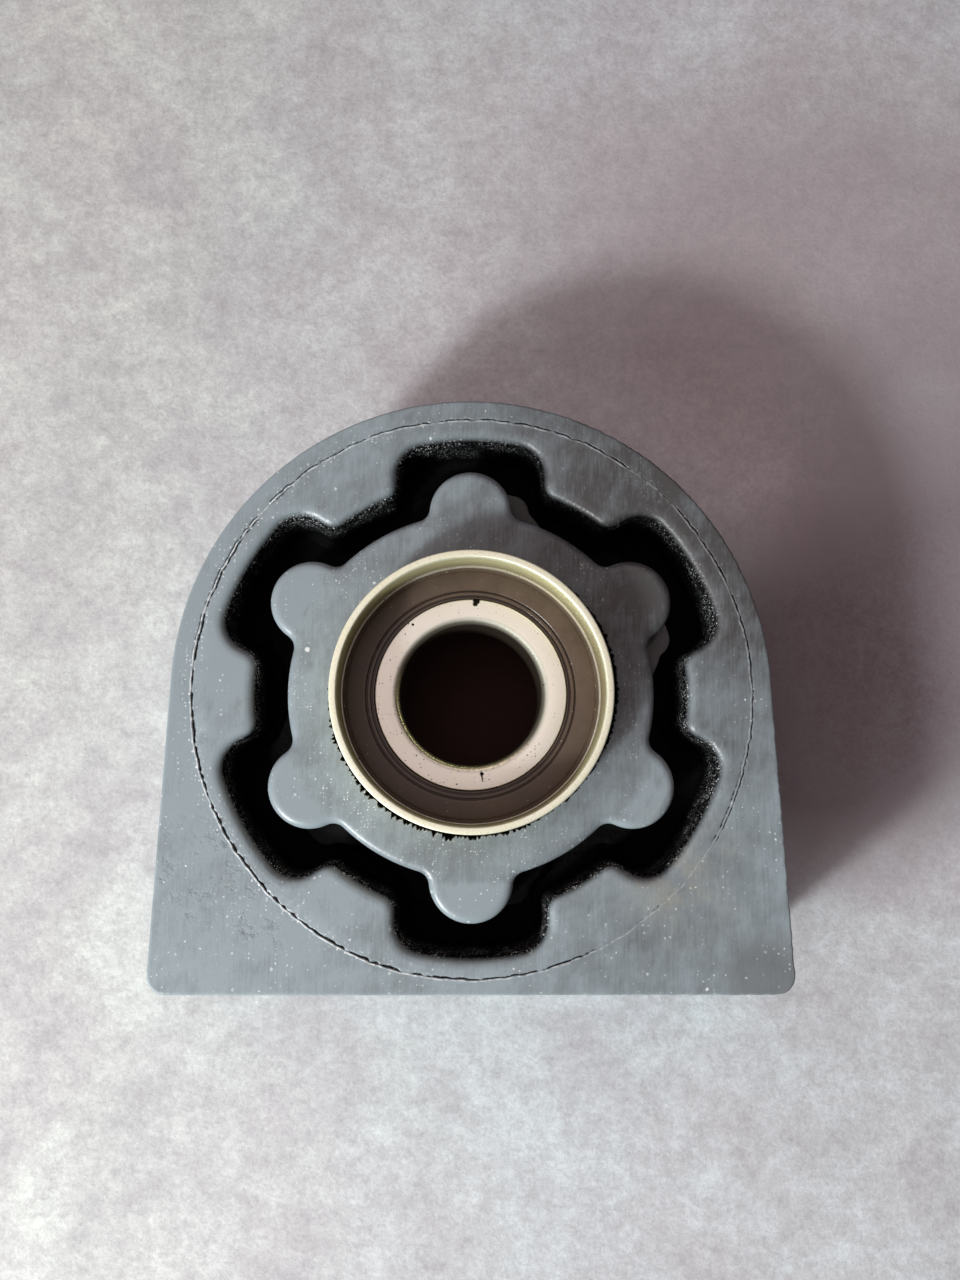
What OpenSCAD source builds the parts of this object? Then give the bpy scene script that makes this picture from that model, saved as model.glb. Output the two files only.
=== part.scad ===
// Driveshaft centre bearing: a sealed ball bearing in a pressed steel casing, bonded into a rubber cushion.
// Z is the shaft axis, and the origin is the middle of the bearing bore.
// The arch of the cushion points to +Y, and the cushion lies on its rear face.

/* [Bearing rings] */
// Diameter of the shaft bore
bore_d = 30; // [26:0.5:34]
// Outside diameter of the outer ring
bearing_od = 62; // [60:0.5:70]
// Width of both rings
bearing_w = 16; // [15.5:0.5:20]
// Depth of each ball groove below its shoulders
groove_depth = 2; // [1.4:0.1:2.2]
// Corner radius of the rings
ring_round = 1; // [0.8:0.1:1.2]
// Edge radius of the inner ring's shoulders
shoulder_round = 0.3; // [0.1:0.1:0.4]

/* [Balls and cage] */
// Diameter of a ball
ball_d = 9.525; // [8.5:0.025:9.8]
// Running gap between a ball and its grooves
ball_gap = 0.08; // [0.04:0.01:0.12]
// Sheet thickness of the cage halves
cage_sheet = 0.9; // [0.6:0.1:1.2]
// Gap between a ball and its cage pocket
pocket_gap = 0.15; // [0.1:0.01:0.2]
// Gap between the cage and the shoulders of the rings
cage_gap = 0.7; // [0.4:0.1:1]
// Least gap between the crown of a cage pocket and the seal over it
cage_seal_gap = 0.3; // [0.2:0.05:0.4]
// Shank diameter of a cage rivet
rivet_d = 1.3; // [1:0.1:1.6]
// Head diameter of a cage rivet
rivet_head_d = 2.2; // [1.8:0.1:2.6]
// Head height of a cage rivet
rivet_head_h = 0.5; // [0.3:0.1:0.8]

/* [Seals] */
// Thickness of a seal
seal_t = 1.3; // [1:0.1:1.5]
// How far a seal sits below the face of the rings
seal_recess = 0.4; // [0.2:0.1:0.6]
// Radial width of the step in the outer ring that holds a seal
seal_step = 1.2; // [0.8:0.1:1.6]
// Running gap between a seal lip and the inner ring
lip_gap = 0.2; // [0.1:0.05:0.3]
// Width of the lip inside its groove
lip_w = 0.3; // [0.2:0.1:0.8]
// Width of the groove that frees the lip
lip_groove_w = 0.9; // [0.4:0.1:1.2]
// Depth of the groove that frees the lip
lip_groove_depth = 0.5; // [0.2:0.1:0.7]

/* [Casing] */
// Sheet thickness of the casing
sheet_t = 1.5; // [1:0.1:2]
// How far the inside of a neck lies within the outer ring
neck_step = 4; // [3.2:0.1:6]
// How far the front neck stands above its flange
front_neck_rise = 9; // [5:0.5:14]
// How far the rear neck stands behind its flange
rear_neck_rise = 9; // [5:0.5:12]
// Inside radius of the sheet's bends
bend_r = 0.8; // [0.5:0.1:0.8]
// Edge radius of the rims
rim_round = 0.4; // [0.2:0.1:0.5]

/* [Hub] */
// Rubber wall round the casing
hub_wall = 5.7; // [4:0.1:8]
// Rubber over the ends of the casing
hub_lip = 1.5; // [1:0.1:3]
// Radius of a lobe
lobe_r = 8.7; // [7:0.1:9.5]
// How far a lobe stands out from the hub
lobe_rise = 9; // [7:0.1:11]
// Radius where a lobe meets the hub
lobe_root_r = 3; // [1.5:0.1:4]
// How far the foot of a lobe lies below the hub face
foot_drop = 9; // [5:0.5:12]
// How far the foot of a lobe is wider than the lobe on each side
foot_side = 4.3; // [2:0.1:4.5]
// How far the foot of a lobe stays back from its tip
foot_back = 1.7; // [0.5:0.1:4]
// Corner radius of the foot of a lobe
foot_corner_r = 4; // [2:0.1:5]

/* [Block] */
// Free gap between the hub and the block
cavity_gap = 6.5; // [5:0.1:8]
// Depth of the front cavity below the block face
cavity_depth = 14; // [12:0.5:18]
// Thickness of the web that carries the hub
web_t = 6; // [4:0.5:8]
// Radius of the corners at the ends of a recess
recess_corner_r = 6; // [3:0.1:7]
// Radius of the corners of a land between two recesses
land_corner_r = 4; // [2:0.1:5]
// Rubber wall between a recess and the arch
arch_wall = 9.1; // [5:0.1:14]
// Rubber wall between the lowest recess and the base
base_wall = 7.8; // [5:0.1:14]
// Slope of the sides, wider towards the base
side_flare = 3.2; // [1:0.1:8]
// Radius of the corners at the base
base_corner_r = 4; // [2:0.1:8]
// Depth of the block from its front face to its rear face
block_depth = 36; // [34:0.5:44]
// How far the hub stands proud of the block face
hub_proud = 1; // [0:0.1:3]
// Edge radius of the hub and its lobes
hub_edge_r = 1.2; // [0.6:0.1:2]
// Edge radius of the mouth of a cavity
mouth_r = 1.8; // [1:0.1:2.4]
// Edge radius round the block
block_edge_r = 0.8; // [0.5:0.1:1.5]

/* [Hidden] */

// Fineness of full turns, and the largest error of an arc drawn as points
$fn = 96;
arc_error = 0.05;

// Flats of a rounded edge, and how far the last one runs past the face as a share of its width
edge_steps = 2;
edge_run_out = 0.1;

// Length of a cut past a face, how far the web reaches into the block, and when two points are one
past = 1;
web_hold = 1;
same_place = 0.001;

// Bearing radii
ball_count = 9;
ball_step = 360 / ball_count;
ball_r = ball_d / 2;
bore_r = bore_d / 2;
bearing_r = bearing_od / 2;
pitch_r = (bore_r + bearing_r) / 2;
groove_r = ball_r + ball_gap;
inner_shoulder_r = pitch_r - groove_r + groove_depth;
outer_shoulder_r = pitch_r + groove_r - groove_depth;
half_w = bearing_w / 2;
pocket_r = ball_r + pocket_gap;
cage_ir = inner_shoulder_r + cage_gap;
cage_or = outer_shoulder_r - cage_gap;
seal_or = outer_shoulder_r + seal_step;
seal_ir = inner_shoulder_r + lip_gap;
seal_top = half_w - seal_recess;
seal_bottom = seal_top - seal_t;

// Casing radii and heights
seat_or = bearing_r + sheet_t;
neck_id = bearing_od - 2 * neck_step;
neck_ir = neck_id / 2;
neck_or = neck_ir + sheet_t;
bend_or = bend_r + sheet_t;
flange_z = half_w + sheet_t;
crimp_z = flange_z + sheet_t;
crimp_ir = neck_or + bend_r;
front_rim_z = flange_z + front_neck_rise;
rear_rim_z = flange_z + rear_neck_rise;

// Cushion radii and heights
lobe_count = 6;
lobe_step = 360 / lobe_count;
lobe_first = lobe_step / 2;
hub_r = seat_or + hub_wall;
tip_r = hub_r + lobe_rise;
lobe_centre_r = tip_r - lobe_r;
land_r = hub_r + cavity_gap;
recess_r = tip_r + cavity_gap;
recess_half_w = lobe_r + cavity_gap;
arch_r = recess_r + arch_wall;
base_y = -recess_r - base_wall;
hub_front_z = flange_z + hub_lip;
hub_rear_z = -crimp_z - hub_lip;
front_z = hub_front_z - hub_proud;
rear_z = front_z - block_depth;
web_top_z = front_z - cavity_depth;
web_bottom_z = web_top_z - web_t;
foot_top_z = hub_front_z - foot_drop;

// Points of an arc from angle a0 to angle a1, as many as arc_error asks for, and moved out by grow
function arc(centre, r, a0, a1, grow = 0) =
    let (count = max(1, ceil(abs(a1 - a0) / (2 * acos(1 - min(1, arc_error / r))))))
    [for (i = [0:count]) centre + (r + grow) * dir(a0 + (a1 - a0) * i / count)];

// Unit vector at an angle, and the angle of a vector
function dir(a) = [cos(a), sin(a)];
function angle(v) = atan2(v.y, v.x);
function turned(points, a) = [for (p = points) [p.x * cos(a) - p.y * sin(a), p.x * sin(a) + p.y * cos(a)]];
function mirrored(points) = [for (i = [len(points) - 1:-1:0]) [points[i].x, -points[i].y]];

// Corner b of the path a, b, c, rounded to radius r
function corner(a, b, c, r) =
    let (
        back = (a - b) / norm(a - b),
        ahead = (c - b) / norm(c - b),
        half = acos(back * ahead) / 2,
        centre = b + (back + ahead) / norm(back + ahead) * r / sin(half),
        start = angle(b + back * r / tan(half) - centre),
        side = cross(b - a, c - b) > 0 ? 1 : -1
    )
    arc(centre, r, start, start + side * (180 - 2 * half));

// Closed outline through corners [x, y] or [x, y, radius]
function flat(p) = [p.x, p.y];
function rounded(corners) =
    let (last = len(corners) - 1)
    [for (i = [0:last])
        each len(corners[i]) == 2 ? [corners[i]] :
            corner(flat(corners[i == 0 ? last : i - 1]), flat(corners[i]),
                flat(corners[i == last ? 0 : i + 1]), corners[i][2])];

// End of a radial tab on the X axis: outer radius, half width and corner radius
function tab_end(r, half_width, corner_r, grow = 0) =
    let (
        corner_a = asin((half_width - corner_r) / (r - corner_r)),
        centre = (r - corner_r) * dir(corner_a),
        tab_corner = arc(centre, corner_r, corner_a, 90, grow)
    )
    concat(mirrored(tab_corner), arc([0, 0], r, -corner_a, corner_a, grow), tab_corner);

// One lobe of the hub on the X axis, with the blends at its root
hub_blend_a = acos((pow(hub_r + lobe_root_r, 2) + pow(lobe_centre_r, 2) - pow(lobe_r + lobe_root_r, 2))
    / (2 * (hub_r + lobe_root_r) * lobe_centre_r));
blend_centre = (hub_r + lobe_root_r) * dir(hub_blend_a);
lobe_end_a = angle(blend_centre - [lobe_centre_r, 0]);
function lobe_points(grow) =
    let (lobe_blend = arc(blend_centre, lobe_root_r, lobe_end_a - 180, hub_blend_a - 180, -grow))
    concat(
        mirrored(lobe_blend),
        arc([lobe_centre_r, 0], lobe_r, -lobe_end_a, lobe_end_a, grow),
        lobe_blend,
        arc([0, 0], hub_r, hub_blend_a, lobe_step - hub_blend_a, grow)
    );

// One recess of the cavity on the X axis, with the rounded land after it
land_corner_a = asin((recess_half_w + land_corner_r) / (land_r + land_corner_r));
land_centre = (land_r + land_corner_r) * dir(land_corner_a);
function recess_points(grow) =
    let (land_corner = arc(land_centre, land_corner_r, 270, 180 + land_corner_a, -grow))
    concat(
        mirrored(land_corner),
        tab_end(recess_r, recess_half_w, recess_corner_r, grow),
        land_corner,
        arc([0, 0], land_r, land_corner_a, lobe_step - land_corner_a, grow)
    );

// Whole outlines seen along the shaft, moved out by grow, with each point once
function once(points) =
    let (count = len(points))
    [for (i = [0:count - 1]) if (norm(points[i] - points[(i + 1) % count]) > same_place) points[i]];
function round_pattern(points) =
    once([for (i = [0:lobe_count - 1]) each turned(points, lobe_first + i * lobe_step)]);
function hub_outline(grow = 0) = round_pattern(lobe_points(grow));
function cavity_outline(grow = 0) = round_pattern(recess_points(grow));

base_corner_y = base_y + base_corner_r;
base_corner_x = (arch_r - base_corner_r - base_corner_y * sin(side_flare)) / cos(side_flare);
function block_outline(grow = 0) = once(concat(
    arc([0, 0], arch_r, side_flare, 180 - side_flare, grow),
    arc([-base_corner_x, base_corner_y], base_corner_r, 180 - side_flare, 270, grow),
    arc([base_corner_x, base_corner_y], base_corner_r, -90, side_flare, grow)
));

// Rubber cushion

module slab(z0, z1, outline) {
    translate([0, 0, z0]) linear_extrude(z1 - z0) polygon(outline);
}

// Solid through rings [z, outline] that have the same number of points
module loft(rings) {
    count = len(rings[0][1]);
    last = len(rings) - 1;
    polyhedron(
        points = [for (ring = rings) for (p = ring[1]) [p.x, p.y, ring[0]]],
        faces = concat(
            [[for (i = [0:count - 1]) i]],
            [for (k = [0:last - 1]) for (i = [0:count - 1])
                let (next = (i + 1) % count, below = k * count, above = below + count)
                [below + i, above + i, above + next, below + next]],
            [[for (i = [count - 1:-1:0]) last * count + i]]
        )
    );
}

// Points [distance down from the face, distance in from the wall] of an edge of radius r.
// The last one lies past the face, on the line of the last flat.
function edge_path(r) =
    let (
        round = [for (i = [0:edge_steps]) let (a = 90 * i / edge_steps) r * [1 - sin(a), 1 - cos(a)]],
        run_out = (round[edge_steps] - round[edge_steps - 1]) * edge_run_out
    )
    [for (i = [0:edge_steps]) i < edge_steps ? round[i] : round[i] + run_out];
function reversed(list) = [for (i = [len(list) - 1:-1:0]) list[i]];

module lobe_feet() {
    foot_half_w = lobe_r + foot_side;
    foot_end = tab_end(tip_r - foot_back, foot_half_w, foot_corner_r);
    foot = concat([[0, -foot_half_w]], foot_end, [[0, foot_half_w]]);
    for (i = [0:lobe_count - 1])
        slab(web_bottom_z + web_t / 2, foot_top_z, turned(foot, lobe_first + i * lobe_step));
}

// Space that the casing fills inside the hub
module casing_space() {
    rotate_extrude() polygon(rounded([
        [0, hub_front_z + past],
        [neck_or, hub_front_z + past],
        [neck_or, flange_z, bend_r],
        [seat_or, flange_z, bend_or],
        [seat_or, -crimp_z, bend_or],
        [crimp_ir, -crimp_z],
        [crimp_ir, -flange_z],
        [neck_or, -flange_z, bend_r],
        [neck_or, hub_rear_z - past],
        [0, hub_rear_z - past]
    ]));
}

// What lies between two heights
module between(z0, z1) {
    reach = norm([base_corner_x + base_corner_r, base_y]) + past;
    intersection() {
        children();
        translate([-reach, -reach, z0]) cube([2 * reach, 2 * reach, z1 - z0]);
    }
}

module block() {
    edge = edge_path(block_edge_r);
    between(rear_z, front_z) loft(concat(
        [for (step = reversed(edge)) [rear_z + step[0], block_outline(-step[1])]],
        [for (step = edge) [front_z - step[0], block_outline(-step[1])]]
    ));
}

module hub() {
    edge = edge_path(hub_edge_r);
    between(hub_rear_z, hub_front_z) loft(concat(
        [for (step = reversed(edge)) [hub_rear_z + step[0], hub_outline(-step[1])]],
        [for (step = edge) [hub_front_z - step[0], hub_outline(-step[1])]]
    ));
}

// Space round the hub, from the rear face to the front face
module cavity() {
    mouth = edge_path(mouth_r);
    loft(concat(
        [for (step = reversed(mouth)) [rear_z + step[0], cavity_outline(step[1])]],
        [for (step = mouth) [front_z - step[0], cavity_outline(step[1])]]
    ));
}

module rubber_cushion() {
    color([0.22, 0.24, 0.26]) difference() {
        union() {
            difference() {
                block();
                cavity();
            }
            slab(web_bottom_z, web_top_z, cavity_outline(web_hold));
            hub();
            lobe_feet();
        }
        casing_space();
    }
}

// Casing

module casing_front_shell() {
    color([0.78, 0.72, 0.5]) rotate_extrude() polygon(rounded([
        [neck_ir, front_rim_z, rim_round],
        [neck_ir, half_w, bend_or],
        [bearing_r, half_w, bend_r],
        [bearing_r, -flange_z, bend_r],
        [crimp_ir, -flange_z],
        [crimp_ir, -crimp_z],
        [seat_or, -crimp_z, bend_or],
        [seat_or, flange_z, bend_or],
        [neck_or, flange_z, bend_r],
        [neck_or, front_rim_z, rim_round]
    ]));
}

module casing_rear_shell() {
    color([0.78, 0.72, 0.5]) rotate_extrude() polygon(rounded([
        [neck_ir, -rear_rim_z, rim_round],
        [neck_or, -rear_rim_z, rim_round],
        [neck_or, -flange_z, bend_r],
        [bearing_r, -flange_z, bend_r],
        [bearing_r, -half_w],
        [neck_ir, -half_w, bend_or]
    ]));
}

// Bearing rings, seals and balls

module ball_groove() {
    translate([pitch_r, 0]) circle(r = groove_r);
}

module outer_ring() {
    color([0.75, 0.74, 0.72]) rotate_extrude() difference() {
        polygon(rounded([
            [outer_shoulder_r, -seal_bottom],
            [seal_or, -seal_bottom],
            [seal_or, -half_w],
            [bearing_r, -half_w, ring_round],
            [bearing_r, half_w, ring_round],
            [seal_or, half_w],
            [seal_or, seal_bottom],
            [outer_shoulder_r, seal_bottom]
        ]));
        ball_groove();
    }
}

module inner_ring() {
    color([0.84, 0.81, 0.79]) rotate_extrude() difference() {
        polygon(rounded([
            [bore_r, -half_w, ring_round],
            [inner_shoulder_r, -half_w, shoulder_round],
            [inner_shoulder_r, half_w, shoulder_round],
            [bore_r, half_w, ring_round]
        ]));
        ball_groove();
    }
}

module seal() {
    color([0.3, 0.24, 0.19]) rotate_extrude() difference() {
        translate([seal_ir, seal_bottom]) square([seal_or - seal_ir, seal_t]);
        translate([seal_ir + lip_w, seal_top - lip_groove_depth])
            square([lip_groove_w, lip_groove_depth + past]);
    }
}

module front_seal() {
    seal();
}

module rear_seal() {
    mirror([0, 0, 1]) seal();
}

module ball(i) {
    color([0.82, 0.82, 0.84]) rotate((i - 1) * ball_step) translate([pitch_r, 0, 0]) sphere(r = ball_r);
}

// Ribbon cage: each half is a flat ring pressed into a pocket at every ball

module at_each_ball(shift) {
    for (i = [0:ball_count - 1])
        rotate((i + shift) * ball_step) translate([pitch_r, 0, 0]) children();
}

module cage_half() {
    color([0.66, 0.62, 0.52]) difference() {
        intersection() {
            union() {
                cylinder(r = cage_or + past, h = cage_sheet);
                at_each_ball(0) sphere(r = pocket_r + cage_sheet);
            }
            rotate_extrude() translate([cage_ir, 0])
                square([cage_or - cage_ir, seal_bottom - cage_seal_gap]);
        }
        at_each_ball(0) sphere(r = pocket_r);
        at_each_ball(0.5) translate([0, 0, -past]) cylinder(d = rivet_d, h = cage_sheet + 2 * past);
    }
}

module cage_front() {
    cage_half();
}

module cage_rear() {
    mirror([0, 0, 1]) cage_half();
}

module cage_rivets() {
    color([0.7, 0.66, 0.56]) at_each_ball(0.5) rotate_extrude() polygon([
        [0, -cage_sheet - rivet_head_h],
        [rivet_d / 2, -cage_sheet - rivet_head_h],
        [rivet_head_d / 2, -cage_sheet],
        [rivet_d / 2, -cage_sheet],
        [rivet_d / 2, cage_sheet],
        [rivet_head_d / 2, cage_sheet],
        [rivet_d / 2, cage_sheet + rivet_head_h],
        [0, cage_sheet + rivet_head_h]
    ]);
}

rubber_cushion();
casing_front_shell();
casing_rear_shell();
outer_ring();
inner_ring();
ball(1);  // ball_1
ball(2);  // ball_2
ball(3);  // ball_3
ball(4);  // ball_4
ball(5);  // ball_5
ball(6);  // ball_6
ball(7);  // ball_7
ball(8);  // ball_8
ball(9);  // ball_9
cage_front();
cage_rear();
cage_rivets();
front_seal();
rear_seal();
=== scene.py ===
"""Looks of the driveshaft centre bearing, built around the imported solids.

Lengths are millimetres and angles are degrees. Lengths become metres where a mesh, a shader node, a lamp or
the camera is made. The shaft axis is Z, the arch of the cushion points to +Y, and the part lies on its rear
face.
"""

import math

import bpy
import numpy as np
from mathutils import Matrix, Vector


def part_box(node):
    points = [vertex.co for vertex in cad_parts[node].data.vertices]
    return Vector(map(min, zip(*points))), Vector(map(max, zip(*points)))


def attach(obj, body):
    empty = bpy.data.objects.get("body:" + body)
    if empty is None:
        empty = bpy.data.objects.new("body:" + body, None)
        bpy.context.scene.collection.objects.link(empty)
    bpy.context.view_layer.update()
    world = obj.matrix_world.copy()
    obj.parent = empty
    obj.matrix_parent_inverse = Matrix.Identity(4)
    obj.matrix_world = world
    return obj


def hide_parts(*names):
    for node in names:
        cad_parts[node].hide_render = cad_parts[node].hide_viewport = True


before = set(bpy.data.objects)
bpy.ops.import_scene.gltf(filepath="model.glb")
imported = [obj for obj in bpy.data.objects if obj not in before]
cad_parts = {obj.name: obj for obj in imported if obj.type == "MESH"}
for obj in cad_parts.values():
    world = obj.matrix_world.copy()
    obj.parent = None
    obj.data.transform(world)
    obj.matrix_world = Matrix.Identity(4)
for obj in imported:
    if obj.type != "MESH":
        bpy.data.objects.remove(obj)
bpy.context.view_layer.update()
MM = 0.001


def node_box(node):
    """Lowest and highest corner of a solid."""
    return [np.array(corner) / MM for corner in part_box(node)]


# Sizes of the casing
SHEET = 1.5
BEND_R = 0.8
BEND_OR = BEND_R + SHEET
NECK_IR = 27.0
NECK_OR = NECK_IR + SHEET
BEARING_R = 31.0
SEAT_OR = BEARING_R + SHEET
CRIMP_IR = NECK_OR + BEND_R
RIM_ROUND = 0.3
FLANGE_Z = 9.5
CRIMP_Z = 11.0
FRONT_RIM_Z = float(node_box("casing_front_shell")[1][2])
REAR_RIM_Z = float(node_box("casing_rear_shell")[0][2])

# Sizes of the inner ring and the seals
BORE_R = 15.0
BEVEL_R = 1.4
PITCH_R = (BORE_R + BEARING_R) / 2
GROOVE_R = 4.8425
SHOULDER_R = float(node_box("inner_ring")[1][0])
SHOULDER_ROUND = 0.25
RING_FACE_Z = float(node_box("inner_ring")[1][2])
SEAL_OR = float(node_box("front_seal")[1][0])
SEAL_TOP = float(node_box("front_seal")[1][2])
SEAL_BOTTOM = float(node_box("front_seal")[0][2])
LIP_R = SHOULDER_R + 0.2
LIP_GROOVE_DEPTH = 0.5

# Sizes of the cushion
cushion_low, cushion_high = node_box("rubber_cushion")
LOBES = 6
LOBE_STEP = 360 / LOBES
LOBE_FIRST = LOBE_STEP / 2
HUB_WALL = 5.7
HUB_R = SEAT_OR + HUB_WALL
LOBE_R = 8.7
LOBE_RISE = 9.0
TIP_R = HUB_R + LOBE_RISE
ROOT_R = 3.0
GAP = 6.5
LAND_R = HUB_R + GAP
RECESS_R = TIP_R + GAP
RECESS_HALF_W = LOBE_R + GAP
RECESS_CORNER_R = 6.0
LAND_CORNER_R = 4.0
FOOT_MARGIN = 4.3
FOOT_HALF_W = LOBE_R + FOOT_MARGIN
FOOT_SETBACK = 1.7
FOOT_R = TIP_R - FOOT_SETBACK
FOOT_CORNER_R = 4.0
FOOT_HALF_A = 25
FOOT_CLEARANCE = 0.25
ARCH_R = float(cushion_high[1])
BASE_Y = float(cushion_low[1])
BASE_CORNER_R = 4.0
SIDE_FLARE = 3.2
BLOCK_INSET = 0.04
WITNESS_R = 58.4
WITNESS_HALF_W = 0.7

# Heights of the cushion
HUB_STEP = 1.0
CAVITY_DEPTH = 14.0
WEB_T = 6.0
FOOT_DEPTH = 9.0
HUB_LIP = 1.5
HUB_Z = float(cushion_high[2])
FRONT_Z = HUB_Z - HUB_STEP
REAR_Z = float(cushion_low[2])
WEB_TOP_Z = FRONT_Z - CAVITY_DEPTH
WEB_BOTTOM_Z = WEB_TOP_Z - WEB_T
FOOT_Z = HUB_Z - FOOT_DEPTH
HUB_REAR_Z = -CRIMP_Z - HUB_LIP
FLOOR_Z = REAR_Z

# Rounded edges of the cushion, and the plain strips beside them that keep the shading clean
HUB_EDGE_R = 1.7
SHELF_R = 1.0
SHELF_INSET = 0.2
WEB_R = 2.0
MOUTH_R = 2.6
BLOCK_EDGE_R = 0.5
RUN_OUT = 0.3
MOUTH_RUN_OUT = 0.35
WALL_RUN_OUT = 0.4
FILLET_RUN_OUT = 0.2

# Gap between the rubber and the neck, clearance of the rubber from steel, and the start of the plain hub face
GAP_FLOOR_Z = FLANGE_Z + 0.3
CLEAR = 0.03
CLEAR_Z = 0.05
HUB_FACE_R = NECK_OR + 3.6

# Fineness of the cushion: points round one lobe pitch, and steps of a rounded edge
PITCH_POINTS = 112
EDGE_STEPS = 5

# Fineness of a turned piece: points round it, steps of a rounded corner, and the least angle of a sharp edge
LATHE_POINTS = 240
CORNER_STEPS = 6
SHARP_ANGLE = 40


# Outlines

def direction(degrees):
    """Unit vectors at these angles."""
    a = np.radians(degrees)
    return np.stack([np.cos(a), np.sin(a)], axis=-1)


def angle_of(point):
    return math.degrees(math.atan2(point[1], point[0]))


def arc(centre, radius, start, end, count=60):
    return np.asarray(centre) + radius * direction(np.linspace(start, end, count))


def with_mirror(half):
    """A path that is symmetric about the X axis, from its half above the axis, which starts on the axis."""
    return np.concatenate([half[::-1] * [1, -1], half])


def resample(path, count):
    """Points spread evenly along a path, half a step in from both ends."""
    length = np.concatenate([[0], np.cumsum(np.linalg.norm(np.diff(path, axis=0), axis=1))])
    wanted = (np.arange(count) + 0.5) / count * length[-1]
    return np.stack([np.interp(wanted, length, path[:, k]) for k in (0, 1)], axis=-1)


def pattern(path):
    """A path over one lobe pitch, repeated round the axis as one closed ring."""
    ring = resample(path, PITCH_POINTS)
    turns = np.radians(LOBE_FIRST + LOBE_STEP * np.arange(LOBES))
    copies = []
    for turn in turns:
        c, s = math.cos(turn), math.sin(turn)
        copies.append(ring @ np.array([[c, s], [-s, c]]))
    return np.concatenate(copies)


def hub_path():
    """The hub over one pitch: a round lobe, the fillet at its root, and the hub's own circle."""
    centre_r = TIP_R - LOBE_R
    reach = HUB_R + ROOT_R
    blend_cos = (reach ** 2 + centre_r ** 2 - (LOBE_R + ROOT_R) ** 2) / (2 * reach * centre_r)
    blend_a = math.degrees(math.acos(blend_cos))
    blend = reach * direction(blend_a)
    lobe_a = angle_of(blend - [centre_r, 0])
    half = np.concatenate([
        arc([centre_r, 0], LOBE_R, 0, lobe_a),
        arc(blend, ROOT_R, lobe_a - 180, blend_a - 180),
        arc([0, 0], HUB_R, blend_a, LOBE_STEP / 2),
    ])
    return with_mirror(half)


def tab_half(radius, half_w, corner_r):
    """Upper half of the rounded end of a radial tab on the X axis."""
    corner_a = math.degrees(math.asin((half_w - corner_r) / (radius - corner_r)))
    centre = (radius - corner_r) * direction(corner_a)
    return np.concatenate([arc([0, 0], radius, 0, corner_a), arc(centre, corner_r, corner_a, 90)])


def cavity_path():
    """The wall of the cavity over one pitch: a recess for the lobe, and half a land on each side."""
    land_a = math.degrees(math.asin((RECESS_HALF_W + LAND_CORNER_R) / (LAND_R + LAND_CORNER_R)))
    land_corner = (LAND_R + LAND_CORNER_R) * direction(land_a)
    half = np.concatenate([
        tab_half(RECESS_R, RECESS_HALF_W, RECESS_CORNER_R),
        arc(land_corner, LAND_CORNER_R, 270, 180 + land_a),
        arc([0, 0], LAND_R, land_a, LOBE_STEP / 2),
    ])
    return with_mirror(half)


def polar_reach(path, angles):
    """Distance of a path from the axis at these angles."""
    path_a = np.degrees(np.arctan2(path[:, 1], path[:, 0]))
    return np.interp(angles, path_a, np.hypot(path[:, 0], path[:, 1]))


def foot_path():
    """The hub and the wider feet of its lobes, whichever stands out further, a little outside the hub."""
    samples = 4000
    angles = np.linspace(-LOBE_STEP / 2, LOBE_STEP / 2, samples)
    side_end = [[1.0, FOOT_HALF_W]]
    foot = with_mirror(np.concatenate([tab_half(FOOT_R, FOOT_HALF_W, FOOT_CORNER_R), side_end]))
    foot_r = np.where(np.abs(angles) < FOOT_HALF_A, polar_reach(foot, angles), 0)
    radius = np.maximum(polar_reach(hub_path(), angles) + FOOT_CLEARANCE, foot_r)
    return radius[:, None] * direction(angles)


def block_ring(angles):
    """The outline of the block at these angles."""
    samples = 60000
    corner_y = BASE_Y + BASE_CORNER_R
    flare = math.radians(SIDE_FLARE)
    corner_x = (ARCH_R - BASE_CORNER_R - corner_y * math.sin(flare)) / math.cos(flare)
    path = np.concatenate([
        arc([corner_x, corner_y], BASE_CORNER_R, -90, SIDE_FLARE),
        arc([0, 0], ARCH_R, SIDE_FLARE, 180 - SIDE_FLARE, 400),
        arc([-corner_x, corner_y], BASE_CORNER_R, 180 - SIDE_FLARE, 270),
    ])
    dense = resample(np.concatenate([path, path[:1]]), samples)
    dense_a = np.degrees(np.arctan2(dense[:, 1], dense[:, 0])) % 360
    order = np.argsort(dense_a)
    dense_r = np.hypot(dense[:, 0], dense[:, 1])
    radius = np.interp(angles % 360, dense_a[order], dense_r[order], period=360)
    return radius[:, None] * direction(angles)


def ring_angles(ring):
    return np.degrees(np.unwrap(np.arctan2(ring[:, 1], ring[:, 0])))


def circle_ring(radius, angles):
    """A ring at one radius, or at one radius for each angle."""
    return np.asarray(radius * np.ones_like(angles))[:, None] * direction(angles)


def outward(ring):
    """Unit normals of a closed ring that runs counterclockwise."""
    along = np.roll(ring, -1, axis=0) - np.roll(ring, 1, axis=0)
    along /= np.linalg.norm(along, axis=1)[:, None]
    return np.stack([along[:, 1], -along[:, 0]], axis=-1)


def grown(ring, distance):
    """A ring moved outward by one distance, or by one distance for each point."""
    return ring + outward(ring) * np.reshape(distance * np.ones(len(ring)), (-1, 1))


def turned_away(angles, middle):
    """Degrees between each angle and the middle, from 0 to 180."""
    return np.abs((angles - middle + 180) % 360 - 180)


def ripple(angles, seed, waves, fall=1.0, start=3):
    """Seeded uneven line round the axis, about 1 high, that closes on itself."""
    rng = np.random.default_rng(seed)
    total = np.zeros_like(angles)
    power = 0.0
    for wave in range(start, waves):
        size = wave ** -fall
        total += size * np.sin(np.radians(angles * wave) + rng.uniform(0, 2 * math.pi))
        power += size * size / 2
    return total / math.sqrt(power)


# Meshes

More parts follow.
